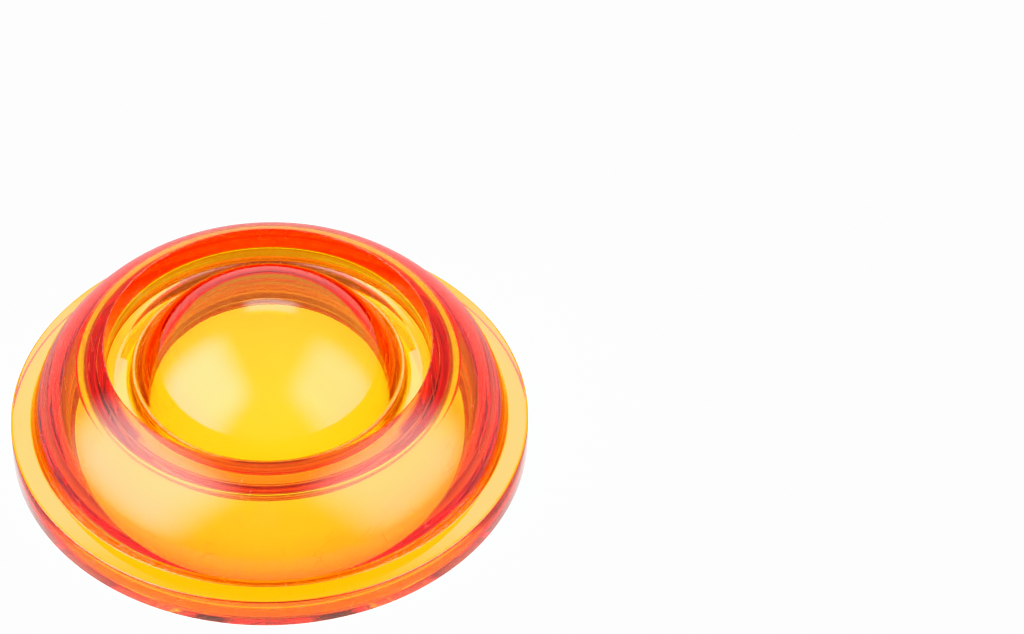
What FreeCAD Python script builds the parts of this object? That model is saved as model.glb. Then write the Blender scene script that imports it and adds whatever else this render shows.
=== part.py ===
import FreeCAD, Part
import math
import os

# Round amber road marker with a bullseye dome standing in a recessed crown.
# Millimetres, +Z up. The origin is the centre of the underside, on the road.

# Lens shell: rim, shoulder and lip
RIM_RADIUS = 50.0
RIM_HEIGHT = 6.75
RIM_ROUND = 0.5
FOOT_RADIUS = 46.0          # the shoulder rises from the top of the rim here
FOOT_ROUND = 0.3
SHOULDER_RADIUS = 25.55     # one arc, from the foot up to the lip
LIP_RADIUS = 31.35          # sharp edge of the recess, and its upright wall
LIP_HEIGHT = 25.65
LIP_ROUND = 0.2

# Lens shell: round channel and beaded mouth in the floor of the recess
CHANNEL_FLOOR = 16.9
CHANNEL_ROUND = 2.2
MOUTH_RADIUS = 25.4
BEAD_TOP = 19.8
BEAD_WIDTH = 0.9
BEAD_ROUND = 0.35
BEAD_FILLET = 1.2

# Lens shell: hollow side. The rim is solid down to the road. The wall is thickest at
# the foot of the shoulder, and the hollow runs up beside the recess to its crown.
HOLLOW_FOOT = 40.0
HOLLOW_ARC = 18.0
CROWN_RADIUS = 33.8         # highest point of the hollow
CROWN_HEIGHT = 20.0
CROWN_ROUND = 1.5
WEDGE_RADIUS = 31.5         # the slope beside the recess ends here, under the floor
WEDGE_ROUND = 2.0
FLOOR_WALL = 2.0
REBATE_RADIUS = 41.4
REBATE_DEPTH = 2.4

# Bullseye lens: dome on an upright collar, with a flange under the mouth
DOME_RADIUS = 27.5
DOME_CENTRE = 8.5
COLLAR_RADIUS = 25.3
CAVITY_RADIUS = 24.0
CAVITY_CENTRE = 10.2
FLANGE_RADIUS = 29.4
FLANGE_TOP = 14.6
FLANGE_BOTTOM = 13.2
FLANGE_ROUND = 0.3

# Adhesive ring that joins the dome's flange to the underside of the floor
BOND_INNER_RADIUS = 26.0

# Closing plate, its sealant ring and the reflective sheet bonded to it
PLATE_RADIUS = 41.2
PLATE_THICKNESS = 2.1
PLATE_EDGE_ROUND = 0.3
SEAL_INNER_RADIUS = 40.0
SHEET_RADIUS = 39.6
SHEET_THICKNESS = 0.4

# Rings moulded into the underside to key the road adhesive
KEY_RADII = (7.0, 13.0, 19.0, 25.0, 31.0, 37.0)
KEY_WIDTH = 2.0
KEY_DEPTH = 0.6


def at(r, z):
    """Point on the section plane."""
    return FreeCAD.Vector(r, 0.0, z)


def line(start, end):
    return Part.makeLine(at(*start), at(*end))


def arc(centre, radius, start, end):
    """Arc between two points of a circle, the short way round."""
    first = math.atan2(start[1] - centre[1], start[0] - centre[0])
    last = math.atan2(end[1] - centre[1], end[0] - centre[0])
    middle = (first + last) / 2.0
    halfway = at(centre[0] + radius * math.cos(middle), centre[1] + radius * math.sin(middle))
    return Part.Arc(at(*start), halfway, at(*end)).toShape()


def revolve(edges):
    """Solid turned about Z from a closed section."""
    section = Part.Face(Part.Wire(Part.__sortEdges__(edges)))
    return section.revolve(at(0.0, 0.0), FreeCAD.Vector(0.0, 0.0, 1.0), 360.0)


def ring(inner, outer, bottom, top):
    """Flat ring, or a disc when the inner radius is zero."""
    body = Part.makeCylinder(outer, top - bottom, at(0.0, bottom))
    if inner > 0.0:
        body = body.cut(Part.makeCylinder(inner, top - bottom, at(0.0, bottom)))
    return body


def round_off(body, r, z, radius):
    """Round the circular edge that has radius r at height z."""
    near = 1.0e-3
    edges = [
        edge for edge in body.Edges
        if not edge.Degenerated
        and isinstance(edge.Curve, Part.Circle)
        and abs(edge.Curve.Radius - r) < near
        and abs(edge.Curve.Center.z - z) < near
    ]
    return body.makeFillet(radius, edges)


def centre_below(foot, top, radius):
    """Centre of the arc from foot up to top, on the side of the axis and the road."""
    run = foot[0] - top[0]
    rise = top[1] - foot[1]
    chord = math.hypot(run, rise)
    offset = math.sqrt(radius ** 2 - (chord / 2.0) ** 2)
    r = (foot[0] + top[0]) / 2.0 - offset * rise / chord
    z = (foot[1] + top[1]) / 2.0 - offset * run / chord
    return r, z


def shoulder_arc(foot, top, radius):
    """Arc that bulges away from the axis, from foot up to top."""
    return arc(centre_below(foot, top, radius), radius, foot, top)


def make_lens_shell():
    floor_under = CHANNEL_FLOOR - FLOOR_WALL
    bead_outer = MOUTH_RADIUS + BEAD_WIDTH
    hollow_foot = (HOLLOW_FOOT, REBATE_DEPTH)
    crown = (CROWN_RADIUS, CROWN_HEIGHT)

    mouth = [(MOUTH_RADIUS, floor_under), (MOUTH_RADIUS, BEAD_TOP), (bead_outer, BEAD_TOP)]
    recess = [(bead_outer, CHANNEL_FLOOR), (LIP_RADIUS, CHANNEL_FLOOR), (LIP_RADIUS, LIP_HEIGHT)]
    rim = [(FOOT_RADIUS, RIM_HEIGHT), (RIM_RADIUS, RIM_HEIGHT), (RIM_RADIUS, 0.0)]
    rebate = [(REBATE_RADIUS, 0.0), (REBATE_RADIUS, REBATE_DEPTH), hollow_foot]
    wedge = [crown, (WEDGE_RADIUS, floor_under), mouth[0]]

    edges = []
    for chain in (mouth + recess, rim + rebate, wedge):
        edges += [line(start, end) for start, end in zip(chain, chain[1:])]
    edges.append(shoulder_arc(rim[0], recess[-1], SHOULDER_RADIUS))
    edges.append(shoulder_arc(hollow_foot, crown, HOLLOW_ARC))
    body = revolve(edges)

    for r, z, radius in (
        (RIM_RADIUS, RIM_HEIGHT, RIM_ROUND),
        (RIM_RADIUS, 0.0, RIM_ROUND),
        (FOOT_RADIUS, RIM_HEIGHT, FOOT_ROUND),
        (LIP_RADIUS, LIP_HEIGHT, LIP_ROUND),
        (LIP_RADIUS, CHANNEL_FLOOR, CHANNEL_ROUND),
        (bead_outer, CHANNEL_FLOOR, BEAD_FILLET),
        (bead_outer, BEAD_TOP, BEAD_ROUND),
        (MOUTH_RADIUS, BEAD_TOP, BEAD_ROUND),
        (CROWN_RADIUS, CROWN_HEIGHT, CROWN_ROUND),
        (WEDGE_RADIUS, floor_under, WEDGE_ROUND),
    ):
        body = round_off(body, r, z, radius)
    return body


def make_bullseye_lens():
    dome = (0.0, DOME_CENTRE)
    cavity = (0.0, CAVITY_CENTRE)
    dome_apex = (0.0, DOME_CENTRE + DOME_RADIUS)
    cavity_apex = (0.0, CAVITY_CENTRE + CAVITY_RADIUS)
    collar_top = DOME_CENTRE + math.sqrt(DOME_RADIUS ** 2 - COLLAR_RADIUS ** 2)
    cavity_mouth = math.sqrt(CAVITY_RADIUS ** 2 - (FLANGE_BOTTOM - CAVITY_CENTRE) ** 2)
    side = [
        (COLLAR_RADIUS, collar_top),
        (COLLAR_RADIUS, FLANGE_TOP),
        (FLANGE_RADIUS, FLANGE_TOP),
        (FLANGE_RADIUS, FLANGE_BOTTOM),
        (cavity_mouth, FLANGE_BOTTOM),
    ]

    edges = [line(start, end) for start, end in zip(side, side[1:])]
    edges.append(arc(dome, DOME_RADIUS, dome_apex, side[0]))
    edges.append(arc(cavity, CAVITY_RADIUS, cavity_apex, side[-1]))
    edges.append(line(cavity_apex, dome_apex))
    return round_off(revolve(edges), COLLAR_RADIUS, FLANGE_TOP, FLANGE_ROUND)


def make_base_plate():
    body = ring(0.0, PLATE_RADIUS, 0.0, PLATE_THICKNESS)
    for radius in KEY_RADII:
        inner = radius - KEY_WIDTH / 2.0
        body = body.cut(ring(inner, inner + KEY_WIDTH, 0.0, KEY_DEPTH))
    return round_off(body, PLATE_RADIUS, 0.0, PLATE_EDGE_ROUND)


os.makedirs("parts", exist_ok=True)

floor_under = CHANNEL_FLOOR - FLOOR_WALL
sheet_top = PLATE_THICKNESS + SHEET_THICKNESS

nodes = {
    "lens_shell": make_lens_shell(),
    "bullseye_lens": make_bullseye_lens(),
    "lens_bond": ring(BOND_INNER_RADIUS, FLANGE_RADIUS, FLANGE_TOP, floor_under),
    "base_plate": make_base_plate(),
    "base_seal": ring(SEAL_INNER_RADIUS, PLATE_RADIUS, PLATE_THICKNESS, REBATE_DEPTH),
    "reflector_sheet": ring(0.0, SHEET_RADIUS, PLATE_THICKNESS, sheet_top),
}

for name, shape in nodes.items():
    shape.exportStep(os.path.join("parts", name + ".step"))
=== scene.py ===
import math

import bmesh
import bpy
from mathutils import Matrix, Vector


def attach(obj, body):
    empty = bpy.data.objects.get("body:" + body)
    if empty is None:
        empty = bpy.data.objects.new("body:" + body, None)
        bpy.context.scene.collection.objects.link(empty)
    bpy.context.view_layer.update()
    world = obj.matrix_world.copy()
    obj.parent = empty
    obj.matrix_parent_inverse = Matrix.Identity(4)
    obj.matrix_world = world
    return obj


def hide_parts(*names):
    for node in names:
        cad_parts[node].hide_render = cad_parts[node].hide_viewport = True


# Looks of the round amber road marker. Sections are in millimetres, as (radius, height),
# and turned about +Z. The origin is the centre of the underside.

MM = 0.001
TURN_STEPS = 256            # faces in a full turn
CORNER_STEPS = 8            # points along each rounded corner
SHOULDER_STEPS = 90
HOLLOW_STEPS = 70
DOME_STEPS = 110
SHARP_ANGLE = math.radians(25.0)
GAP = 0.02                  # bonded faces are drawn this far apart, so they never coincide

# Lens shell, outside
RIM_RADIUS = 50.0
RIM_HEIGHT = 6.75
RIM_ROUND = 0.5
FOOT_RADIUS = 46.0
FOOT_ROUND = 0.3
SHOULDER_RADIUS = 25.55
LIP_RADIUS = 31.35
LIP_HEIGHT = 25.65
LIP_ROUND = 0.2
CHANNEL_FLOOR = 16.9
CHANNEL_ROUND = 2.2
MOUTH_RADIUS = 25.4
BEAD_OUTER = 26.3
BEAD_TOP = 19.8
BEAD_ROUND = 0.35
BEAD_FILLET = 1.2

# Lens shell, hollow side
HOLLOW_FOOT = 40.0
HOLLOW_ARC = 18.0
CROWN_RADIUS = 33.8
CROWN_HEIGHT = 20.0
CROWN_ROUND = 1.5
WEDGE_RADIUS = 31.5
WEDGE_ROUND = 2.0
FLOOR_UNDER = 14.9
REBATE_RADIUS = 41.4
REBATE_DEPTH = 2.4

# Bullseye lens and its bond
DOME_RADIUS = 27.5
DOME_CENTRE = 8.5
COLLAR_RADIUS = 25.3
CAVITY_RADIUS = 24.0
CAVITY_CENTRE = 10.2
FLANGE_RADIUS = 29.4
FLANGE_TOP = 14.6
FLANGE_BOTTOM = 13.2
FLANGE_ROUND = 0.3
BOND_INNER = 26.0

# Closing plate, its seal and the sheet on it
PLATE_RADIUS = 41.2
PLATE_TOP = 2.1
PLATE_EDGE_ROUND = 0.3
SEAL_INNER = 40.0
SHEET_RADIUS = 39.6
SHEET_TOP = 2.5
KEY_RADII = (37.0, 31.0, 25.0, 19.0, 13.0, 7.0)
KEY_HALF_WIDTH = 1.0
KEY_DEPTH = 0.6

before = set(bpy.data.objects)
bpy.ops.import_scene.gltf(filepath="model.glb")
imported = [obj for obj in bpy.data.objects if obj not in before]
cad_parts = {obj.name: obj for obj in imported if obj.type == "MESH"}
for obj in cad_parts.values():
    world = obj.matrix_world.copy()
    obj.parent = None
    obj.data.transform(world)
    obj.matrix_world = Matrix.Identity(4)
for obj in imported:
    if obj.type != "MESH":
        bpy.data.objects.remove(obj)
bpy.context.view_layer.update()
scene = bpy.context.scene


# Sections. A corner is (r, z, round), where round is its radius or zero. rounded() turns
# corners into the plain (r, z) points that turned() takes.

def rounded(section):
    """Closed section with its rounded corners drawn as arcs. Plain points that an arc
    passes over are left out."""
    swallowed = set()
    arcs = {}
    for i, (r, z, radius) in enumerate(section):
        if radius == 0.0:
            continue
        tip = Vector((r, z))
        back = (Vector(section[i - 1][:2]) - tip).normalized()
        ahead = (Vector(section[(i + 1) % len(section)][:2]) - tip).normalized()
        half = back.angle(ahead) / 2.0
        reach = radius / math.tan(half)
        centre = tip + (back + ahead).normalized() * radius / math.sin(half)
        start = tip + back * reach - centre
        sweep = -start.angle_signed(tip + ahead * reach - centre)
        turns = [sweep * k / CORNER_STEPS for k in range(CORNER_STEPS + 1)]
        arcs[i] = [centre + Matrix.Rotation(turn, 2) @ start for turn in turns]
        for j, point in enumerate(section):
            if point[2] == 0.0 and (Vector(point[:2]) - tip).length < reach:
                swallowed.add(j)
    points = []
    for i, (r, z, radius) in enumerate(section):
        if i in arcs:
            points += [(p.x, p.y) for p in arcs[i]]
        elif i not in swallowed:
            points.append((r, z))
    return points


def arc(centre, radius, first, last, steps):
    """Inner points of an arc between two angles in degrees, without its ends."""
    angles = [math.radians(first + (last - first) * k / steps) for k in range(1, steps)]
    return [
        (centre[0] + radius * math.cos(a), centre[1] + radius * math.sin(a), 0.0) for a in angles
    ]


def shoulder(foot, top, radius, steps):
    """Inner points of the arc that bulges away from the axis, from foot up to top."""
    foot = Vector(foot)
    top = Vector(top)
    chord = top - foot
    inward = Vector((-chord.y, chord.x)).normalized()
    centre = (foot + top) / 2.0 + inward * math.sqrt(radius ** 2 - chord.length_squared / 4.0)
    first = math.degrees(math.atan2(foot.y - centre.y, foot.x - centre.x))
    last = math.degrees(math.atan2(top.y - centre.y, top.x - centre.x))
    return arc(centre, radius, first, last, steps)


def turned(name, section):
    """Mesh object turned about Z from a section. Points on the axis become poles."""
    apart = 1.0e-4          # closer points are one point
    points = [section[0]]
    for point in section[1:]:
        if math.dist(point, points[-1]) > apart:
            points.append(point)
    vertices = []
    rings = []
    for r, z in points:
        if r < apart:
            rings.append([len(vertices)])
            vertices.append((0.0, 0.0, z * MM))
            continue
        rings.append(range(len(vertices), len(vertices) + TURN_STEPS))
        for k in range(TURN_STEPS):
            angle = math.tau * k / TURN_STEPS
            vertices.append((r * MM * math.cos(angle), r * MM * math.sin(angle), z * MM))
    faces = []
    neighbours = list(zip(rings, rings[1:]))
    if len(rings[0]) > 1:
        neighbours.append((rings[-1], rings[0]))
    for low, high in neighbours:
        if len(low) == 1 and len(high) == 1:
            continue
        for k in range(TURN_STEPS):
            after = (k + 1) % TURN_STEPS
            corners = [low[k % len(low)], high[k % len(high)]]
            corners += [high[after % len(high)], low[after % len(low)]]
            faces.append(list(dict.fromkeys(corners)))
    mesh = bpy.data.meshes.new(name)
    mesh.from_pydata(vertices, [], faces)
    work = bmesh.new()
    work.from_mesh(mesh)
    bmesh.ops.recalc_face_normals(work, faces=work.faces)
    work.to_mesh(mesh)
    work.free()
    mesh.shade_smooth()
    mesh.set_sharp_from_angle(angle=SHARP_ANGLE)
    piece = bpy.data.objects.new(name, mesh)
    scene.collection.objects.link(piece)
    return piece


def lens_shell_section():
    foot = (FOOT_RADIUS, RIM_HEIGHT)
    lip = (LIP_RADIUS, LIP_HEIGHT)
    hollow_foot = (HOLLOW_FOOT, REBATE_DEPTH)
    crown = (CROWN_RADIUS, CROWN_HEIGHT)
    section = [
        (MOUTH_RADIUS, FLOOR_UNDER, 0.0),
        (MOUTH_RADIUS, BEAD_TOP, BEAD_ROUND),
        (BEAD_OUTER, BEAD_TOP, BEAD_ROUND),
        (BEAD_OUTER, CHANNEL_FLOOR, BEAD_FILLET),
        (LIP_RADIUS, CHANNEL_FLOOR, CHANNEL_ROUND),
        (*lip, LIP_ROUND),
    ]
    section += reversed(shoulder(foot, lip, SHOULDER_RADIUS, SHOULDER_STEPS))
    section += [
        (*foot, FOOT_ROUND),
        (RIM_RADIUS, RIM_HEIGHT, RIM_ROUND),
        (RIM_RADIUS, 0.0, RIM_ROUND),
        (REBATE_RADIUS, 0.0, 0.0),
        (REBATE_RADIUS, REBATE_DEPTH, 0.0),
        (*hollow_foot, 0.0),
    ]
    section += shoulder(hollow_foot, crown, HOLLOW_ARC, HOLLOW_STEPS)
    section += [(*crown, CROWN_ROUND), (WEDGE_RADIUS, FLOOR_UNDER, WEDGE_ROUND)]
    return rounded(section)


def bullseye_section():
    dome = (0.0, DOME_CENTRE)
    cavity = (0.0, CAVITY_CENTRE)
    dome_foot = math.acos(COLLAR_RADIUS / DOME_RADIUS)
    cavity_foot = math.asin((FLANGE_BOTTOM - CAVITY_CENTRE) / CAVITY_RADIUS)
    section = [(0.0, DOME_CENTRE + DOME_RADIUS, 0.0)]
    section += arc(dome, DOME_RADIUS, 90.0, math.degrees(dome_foot), DOME_STEPS)
    section += [
        (COLLAR_RADIUS, DOME_CENTRE + DOME_RADIUS * math.sin(dome_foot), 0.0),
        (COLLAR_RADIUS, FLANGE_TOP, FLANGE_ROUND),
        (FLANGE_RADIUS, FLANGE_TOP, 0.0),
        (FLANGE_RADIUS, FLANGE_BOTTOM, 0.0),
        (CAVITY_RADIUS * math.cos(cavity_foot), FLANGE_BOTTOM, 0.0),
    ]
    section += arc(cavity, CAVITY_RADIUS, math.degrees(cavity_foot), 90.0, DOME_STEPS)
    section.append((0.0, CAVITY_CENTRE + CAVITY_RADIUS, 0.0))
    return rounded(section)


def base_plate_section():
    top = PLATE_TOP - GAP
    section = [(0.0, top, 0.0), (PLATE_RADIUS, top, 0.0), (PLATE_RADIUS, 0.0, PLATE_EDGE_ROUND)]
    for radius in KEY_RADII:
        outer = radius + KEY_HALF_WIDTH
        inner = radius - KEY_HALF_WIDTH
        section += [(outer, 0.0, 0.0), (outer, KEY_DEPTH, 0.0)]
        section += [(inner, KEY_DEPTH, 0.0), (inner, 0.0, 0.0)]
    section.append((0.0, 0.0, 0.0))
    return rounded(section)


def ring_section(inner, outer, bottom, top):
    """Square-cornered ring, or a disc when the inner radius is zero."""
    return [(inner, bottom), (outer, bottom), (outer, top), (inner, top)]


# Nodes

WHITE = (1.0, 1.0, 1.0, 1.0)


class Tree:
    """Short forms for building a node tree."""

    def __init__(self, tree):
        self.tree = tree

    def link(self, source, target):
        self.tree.links.new(source, target)

    def feed(self, socket, value):
        if isinstance(value, bpy.types.NodeSocket):
            self.link(value, socket)
        else:
            socket.default_value = value

    def node(self, kind, **inputs):
        made = self.tree.nodes.new(kind)
        for name, value in inputs.items():
            self.feed(made.inputs[name.replace("_", " ")], value)
        return made

    def math(self, operation, a, b=0.0):
        made = self.tree.nodes.new("ShaderNodeMath")
        made.operation = operation
        self.feed(made.inputs[0], a)
        self.feed(made.inputs[1], b)
        return made.outputs[0]

    def step(self, value, low, high, start=0.0, end=1.0):
        """Smooth change from start to end as value goes from low to high."""
        made = self.tree.nodes.new("ShaderNodeMapRange")
        made.interpolation_type = "SMOOTHSTEP"
        self.feed(made.inputs["Value"], value)
        made.inputs["From Min"].default_value = low
        made.inputs["From Max"].default_value = high
        made.inputs["To Min"].default_value = start
        made.inputs["To Max"].default_value = end
        return made.outputs["Result"]

    def seen_by_camera(self):
        return self.tree.nodes.new("ShaderNodeLightPath").outputs["Is Camera Ray"]


class Material(Tree):
    """A material's nodes. Coordinates are in millimetres."""

    def __init__(self, name):
        self.material = bpy.data.materials.new(name)
        self.material.use_nodes = True
        super().__init__(self.material.node_tree)
        self.shader = self.tree.nodes["Principled BSDF"]
        self.output = self.tree.nodes["Material Output"]
        place = self.tree.nodes.new("ShaderNodeTexCoord")
        self.place = self.math3("MULTIPLY", place.outputs["Object"], (1.0 / MM,) * 3)

    def math3(self, operation, a, b):
        made = self.tree.nodes.new("ShaderNodeVectorMath")
        made.operation = operation
        self.feed(made.inputs[0], a)
        self.feed(made.inputs[1], b)
        return made.outputs["Value" if operation == "LENGTH" else "Vector"]

    def turned_place(self, angles, scale):
        """The place turned and stretched, for textures with a grain."""
        made = self.node("ShaderNodeMapping", Vector=self.place)
        made.inputs["Rotation"].default_value = [math.radians(a) for a in angles]
        made.inputs["Scale"].default_value = scale
        return made.outputs[0]

    def noise(self, scale, detail=2.0, roughness=0.5, place=None):
        made = self.node(
            "ShaderNodeTexNoise",
            Vector=place or self.place, Scale=scale, Detail=detail, Roughness=roughness,
        )
        return made.outputs["Fac"]

    def cells(self, scale, feature="F1", place=None):
        """Distance from the nearest cell centre, or from the nearest edge between cells."""
        made = self.node("ShaderNodeTexVoronoi", Vector=place or self.place, Scale=scale)
        made.feature = feature
        return made.outputs["Distance"]

    def blend(self, factor, a, b):
        """Colour between a and b."""
        made = self.tree.nodes.new("ShaderNodeMix")
        made.data_type = "RGBA"
        factor_socket, a_socket, b_socket, colour_socket = 0, 6, 7, 2
        self.feed(made.inputs[factor_socket], factor)
        self.feed(made.inputs[a_socket], a)
        self.feed(made.inputs[b_socket], b)
        return made.outputs[colour_socket]

    def bump(self, height):
        """Normal from a height in millimetres."""
        made = self.node("ShaderNodeBump", Height=height, Distance=MM, Strength=1.0)
        self.link(made.outputs[0], self.shader.inputs["Normal"])

    def scratches(self, seed, density):
        """Fine straight scratches in one direction, broken up into short runs."""
        along = self.turned_place((17.0 * seed, 31.0 * seed, 53.0 * seed), (0.35, 0.02, 0.35))
        edge = self.cells(1.0, "DISTANCE_TO_EDGE", along)
        run = self.noise(0.11, 1.0, place=self.math3("ADD", self.place, (9.0 * seed,) * 3))
        line = self.step(edge, 0.0, 0.006, 1.0, 0.0)
        return self.math("MULTIPLY", line, self.step(run, density, density + 0.06))

    def shine_through(self, tint):
        """Lets lamps reach what lies behind the glass, tinted at each face."""
        path = self.tree.nodes.new("ShaderNodeLightPath")
        clear = self.node("ShaderNodeBsdfTransparent", Color=(*tint, 1.0))
        mixed = self.tree.nodes.new("ShaderNodeMixShader")
        self.link(path.outputs["Is Shadow Ray"], mixed.inputs[0])
        self.link(self.shader.outputs[0], mixed.inputs[1])
        self.link(clear.outputs[0], mixed.inputs[2])
        self.link(mixed.outputs[0], self.output.inputs["Surface"])


# Materials

def make_amber():
    """Clear plastic coloured by what it absorbs: thin walls are yellow, long paths red."""
    n = Material("amber_acrylic")
    n.shader.inputs["Base Color"].default_value = WHITE
    n.shader.inputs["Transmission Weight"].default_value = 1.0
    n.shader.inputs["IOR"].default_value = 1.49

    dot = n.step(n.cells(0.55), 0.03, 0.07, 1.0, 0.0)
    rare = n.step(n.noise(0.45, 1.0), 0.60, 0.66)
    speck = n.math("MULTIPLY", dot, rare)
    scratch = n.math("MAXIMUM", n.scratches(1, 0.60), n.scratches(2, 0.62))
    wear = n.math("MAXIMUM", scratch, speck)
    n.link(n.math("MULTIPLY", wear, 0.35), n.shader.inputs["Roughness"])

    flow = n.math("MULTIPLY", n.noise(0.06, 1.0), 0.05)
    ripple = n.math("MULTIPLY", n.noise(0.35, 2.0), 0.004)
    dent = n.math("MULTIPLY", wear, -0.012)
    n.bump(n.math("ADD", n.math("ADD", flow, ripple), dent))

    density = 2000.0
    absorbed_per_metre = (2.0, 150.0, 1200.0)
    colour = [1.0 - absorbed / density for absorbed in absorbed_per_metre]
    absorption = n.node("ShaderNodeVolumeAbsorption", Density=density, Color=(*colour, 1.0))
    n.link(absorption.outputs[0], n.output.inputs["Volume"])
    n.shine_through((0.98, 0.98, 0.98))
    return n.material


def make_adhesive():
    """Clear, slightly uneven, with small bubbles."""
    n = Material("clear_adhesive")
    n.shader.inputs["Base Color"].default_value = (1.0, 0.98, 0.92, 1.0)
    n.shader.inputs["Transmission Weight"].default_value = 1.0
    n.shader.inputs["IOR"].default_value = 1.47
    bubbles = n.step(n.cells(1.1), 0.10, 0.16, 1.0, 0.0)
    n.link(n.step(n.noise(0.5, 2.0), 0.4, 0.7, 0.02, 0.12), n.shader.inputs["Roughness"])
    n.bump(n.math("MULTIPLY", bubbles, 0.03))
    n.shine_through((0.97, 0.96, 0.92))
    return n.material


def make_sheet():
    """Translucent white sheet with beads in it."""
    n = Material("reflective_sheet")
    bead = n.step(n.cells(4.5), 0.0, 0.6, 1.0, 0.0)
    white = n.blend(n.noise(0.09, 3.0), (0.93, 0.93, 0.91, 1.0), (0.99, 0.99, 0.98, 1.0))
    n.link(n.blend(bead, (0.88, 0.88, 0.86, 1.0), white), n.shader.inputs["Base Color"])
    n.shader.inputs["Transmission Weight"].default_value = 0.9
    n.shader.inputs["IOR"].default_value = 1.4
    n.link(n.step(bead, 0.2, 0.9, 0.7, 0.45), n.shader.inputs["Roughness"])
    n.bump(n.math("MULTIPLY", bead, 0.02))
    n.shine_through((0.85, 0.85, 0.84))
    return n.material


def make_plate():
    """Translucent opal white with a fine moulded grain."""
    n = Material("white_plate")
    cloud = n.noise(0.05, 4.0, 0.6)
    grain = n.noise(3.0, 3.0)
    pale = n.blend(cloud, (0.92, 0.92, 0.90, 1.0), (0.97, 0.97, 0.95, 1.0))
    grained = n.blend(n.step(grain, 0.62, 0.75), pale, (0.86, 0.86, 0.84, 1.0))
    n.link(grained, n.shader.inputs["Base Color"])
    n.shader.inputs["Transmission Weight"].default_value = 0.85
    n.shader.inputs["IOR"].default_value = 1.45
    n.link(n.step(grain, 0.3, 0.7, 0.55, 0.75), n.shader.inputs["Roughness"])
    n.bump(n.math("MULTIPLY", grain, 0.025))
    n.shine_through((0.8, 0.8, 0.79))
    return n.material


# Pieces

amber = make_amber()
adhesive = make_adhesive()

pieces = (
    ("lens_shell", lens_shell_section(), amber, "amber_acrylic"),
    ("bullseye_lens", bullseye_section(), amber, "amber_acrylic"),
    (
        "lens_bond",
        ring_section(BOND_INNER, FLANGE_RADIUS, FLANGE_TOP + GAP, FLOOR_UNDER - GAP),
        adhesive,
        "clear_adhesive",
    ),
    (
        "base_seal",
        ring_section(SEAL_INNER, PLATE_RADIUS, PLATE_TOP + GAP, REBATE_DEPTH - GAP),
        adhesive,
        "clear_adhesive",
    ),
    (
        "reflector_sheet",
        ring_section(0.0, SHEET_RADIUS, PLATE_TOP, SHEET_TOP),
        make_sheet(),
        "reflective_sheet",
    ),
    ("base_plate", base_plate_section(), make_plate(), "white_plate"),
)

for node, section, material, slot in pieces:
    piece = turned(node + "_look", section)
    piece.data.materials.append(material)
    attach(piece, "root")
    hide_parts(node)


# Floor and light

FLOOR_RADIUS = 0.9          # metres
FLOOR_DROP = 0.2            # the floor lies this far under the marker
FLOOR_SEEN = 2.1            # the floor's brightness where the camera sees it directly
WORLD_SEEN = 2.2            # the world's brightness where the camera sees it directly
WORLD_DIM = 0.3             # the world's brightness in reflections
PAINTED_LIGHT_MIDDLE = 0.8           # painted light: how bright the floor shines under the plate
PAINTED_LIGHT_RIM = 1.7              # painted light: how bright the floor shines under the solid rim
PAINTED_LIGHT_STEP = (39.0, 41.5)    # the painted light changes from the first to the second between these radii
PAINTED_LIGHT_END = (48.0, 54.0)     # the painted light fades out between these radii


def make_floor():
    """Pale floor with a painted pool of light, an emission that shines only under the marker.
    Only the camera sees the rest of it at full white, so its reflection doesn't wash out the
    reds."""
    bpy.ops.mesh.primitive_circle_add(vertices=96, radius=FLOOR_RADIUS, fill_type="NGON")
    floor = bpy.context.object
    floor.name = "floor"
    floor.location.z = -FLOOR_DROP * MM
    n = Material("floor")
    n.shader.inputs["Base Color"].default_value = (0.3, 0.3, 0.3, 1.0)
    n.shader.inputs["Roughness"].default_value = 0.9
    n.shader.inputs["Emission Color"].default_value = WHITE
    # Painted pool of light: the floor shines only within the marker's footprint, brighter under
    # the solid rim.
    reach = n.math3("LENGTH", n.place, (0.0, 0.0, 0.0))
    under = n.step(reach, *PAINTED_LIGHT_STEP, PAINTED_LIGHT_MIDDLE, PAINTED_LIGHT_RIM)
    painted_light_pool = n.math("MULTIPLY", under, n.step(reach, *PAINTED_LIGHT_END, 1.0, 0.0))
    seen = n.math("MULTIPLY", n.seen_by_camera(), FLOOR_SEEN)
    n.link(n.math("MAXIMUM", painted_light_pool, seen), n.shader.inputs["Emission Strength"])
    floor.data.materials.append(n.material)


def softbox(name, azimuth, elevation, distance, width, height, radiance, edge):
    """Rectangular lamp aimed at the marker, dimming over a share of its width at each edge.
    Angles are in degrees and lengths in metres."""
    lamp = bpy.data.lights.new(name, "AREA")
    lamp.shape = "RECTANGLE"
    lamp.size = width
    lamp.size_y = height
    lamp.energy = radiance * math.pi * width * height
    lamp.use_nodes = True
    n = Tree(lamp.node_tree)
    place = n.node("ShaderNodeNewGeometry").outputs["Parametric"]
    split = n.node("ShaderNodeSeparateXYZ", Vector=place)
    middle = 0.5
    shares = []
    for across in split.outputs[:2]:
        from_middle = n.math("ABSOLUTE", n.math("SUBTRACT", across, middle))
        shares.append(n.step(from_middle, middle - edge, middle, 1.0, 0.0))
    n.link(n.math("MULTIPLY", *shares), n.tree.nodes["Emission"].inputs["Strength"])
    holder = bpy.data.objects.new(name, lamp)
    holder.visible_camera = False
    scene.collection.objects.link(holder)
    a = math.radians(azimuth)
    e = math.radians(elevation)
    away = Vector((math.cos(e) * math.sin(a), math.cos(e) * math.cos(a), math.sin(e)))
    holder.location = away * distance
    holder.rotation_euler = (-away).to_track_quat("-Z", "Y").to_euler()


def make_world():
    """Dim all round, but white where the camera sees it."""
    world = bpy.data.worlds.new("studio")
    scene.world = world
    world.use_nodes = True
    n = Tree(world.node_tree)
    background = n.tree.nodes["Background"]
    background.inputs["Color"].default_value = WHITE
    strength = n.step(n.seen_by_camera(), 0.0, 1.0, WORLD_DIM, WORLD_SEEN)
    n.link(strength, background.inputs["Strength"])


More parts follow.
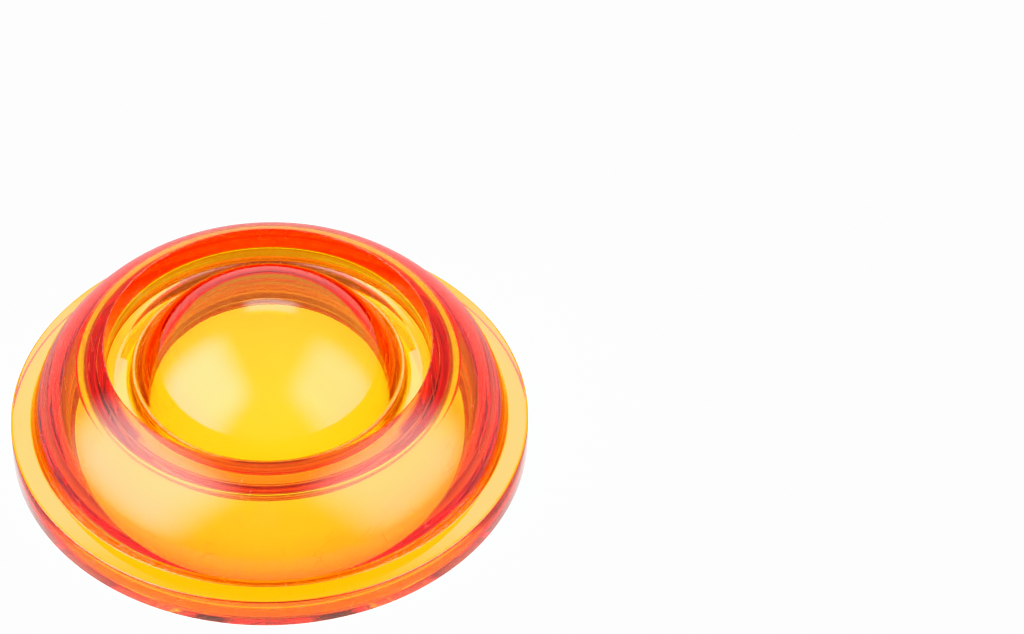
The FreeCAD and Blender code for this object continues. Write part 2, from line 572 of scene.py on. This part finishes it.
make_floor()
make_world()
softbox(
    "softbox_left", azimuth=-110.0, elevation=33.0, distance=1.0,
    width=1.8, height=1.7, radiance=7.0, edge=0.35,
)
softbox(
    "softbox_right", azimuth=107.0, elevation=33.0, distance=1.0,
    width=1.65, height=1.65, radiance=5.0, edge=0.35,
)
softbox(
    "panel_back", azimuth=0.0, elevation=46.0, distance=1.2,
    width=0.8, height=0.36, radiance=4.5, edge=0.25,
)


# Camera and view

CAMERA_PLACE = (0.046543, -0.819963, 0.842925)
CAMERA_PITCH = math.radians(44.63)
CAMERA_ROLL = math.radians(0.807)
LENS = 213.04
SENSOR_WIDTH = 36.0


def make_camera():
    """Long lens that looks down on the marker from the front."""
    camera = bpy.data.objects.new("camera", bpy.data.cameras.new("camera"))
    camera.data.sensor_width = SENSOR_WIDTH
    camera.data.lens = LENS
    scene.collection.objects.link(camera)
    scene.camera = camera
    forward = Vector((0.0, math.cos(CAMERA_PITCH), -math.sin(CAMERA_PITCH)))
    level = Vector((1.0, 0.0, 0.0))
    over = Vector((0.0, math.sin(CAMERA_PITCH), math.cos(CAMERA_PITCH)))
    right = math.cos(CAMERA_ROLL) * level + math.sin(CAMERA_ROLL) * over
    up = math.cos(CAMERA_ROLL) * over - math.sin(CAMERA_ROLL) * level
    matrix = Matrix((right, up, -forward)).transposed().to_4x4()
    matrix.translation = CAMERA_PLACE
    camera.matrix_world = matrix


def set_view():
    """Standard view whose curve presses the bright levels together, as film does."""
    view = scene.view_settings
    view.view_transform = "Standard"
    view.use_curve_mapping = True
    brightest = 2.0
    view.curve_mapping.white_level = (brightest,) * 3
    combined_curve = 3
    curve = view.curve_mapping.curves[combined_curve]
    for level, shown in ((0.3, 0.3), (0.62, 0.62), (1.06, 0.80), (1.5, 0.97), (1.9, 1.0)):
        curve.points.new(level / brightest, shown)
    view.curve_mapping.update()


make_camera()
set_view()

# Light crosses many clear faces before it gets out again.
scene.cycles.max_bounces = 24
scene.cycles.transmission_bounces = 24
scene.cycles.glossy_bounces = 12
scene.cycles.transparent_max_bounces = 32

bpy.context.view_layer.update()
